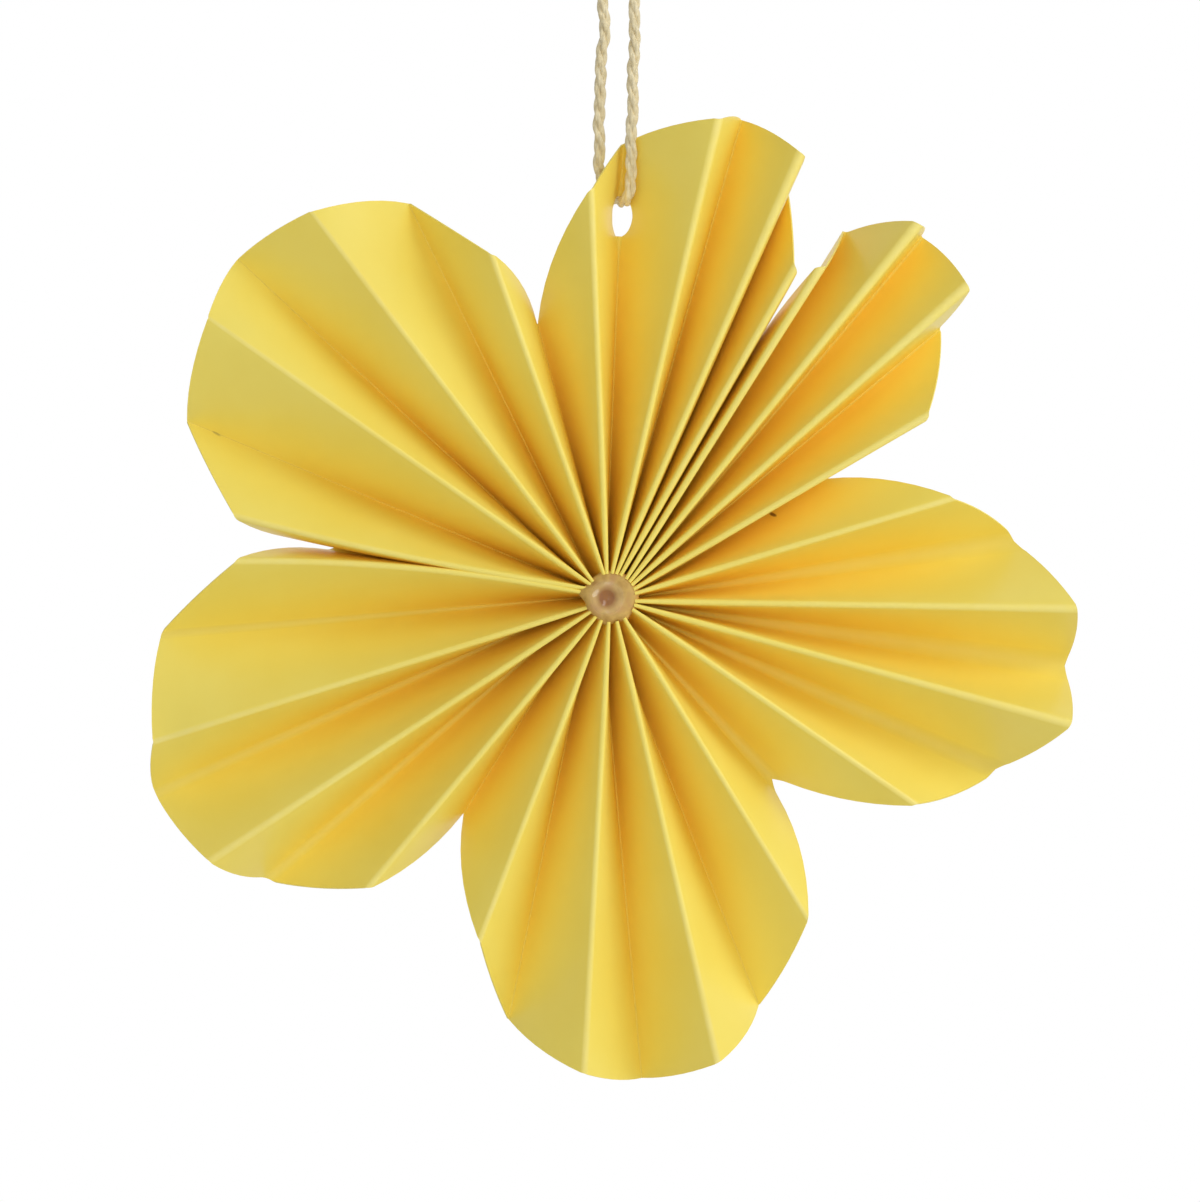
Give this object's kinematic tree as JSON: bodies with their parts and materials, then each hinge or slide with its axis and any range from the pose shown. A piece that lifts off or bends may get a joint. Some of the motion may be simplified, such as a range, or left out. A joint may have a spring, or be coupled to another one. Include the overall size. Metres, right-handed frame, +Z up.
{
  "type": "folded paper flower on a hanging cord",
  "caption": "Pleated yellow paper flower with rounded petals, glued at its core and hung from a loop of twisted cotton cord.",
  "frame": {"origin": "the point that the flower hangs from: between the cord's two strands, on the underside of the knot that closes the loop", "axes": "+Z up along the hanging cord, the flower's face towards -Y, +X to the right as seen from the front"},
  "size_m": [0.1464, 0.0195, 0.1908],
  "materials": {
    "paper": "matte yellow paper dyed through, with a faint sheen on the folds",
    "glue": "clear hot-melt glue, glossy, brownish over the dark core",
    "cord": "matte twisted cotton, natural beige"
  },
  "bodies": {
    "root": {"pleated_paper": "paper", "glue_plug": "glue", "hanging_cord": "cord", "cord_knot": "cord"}
  },
  "joints": []
}
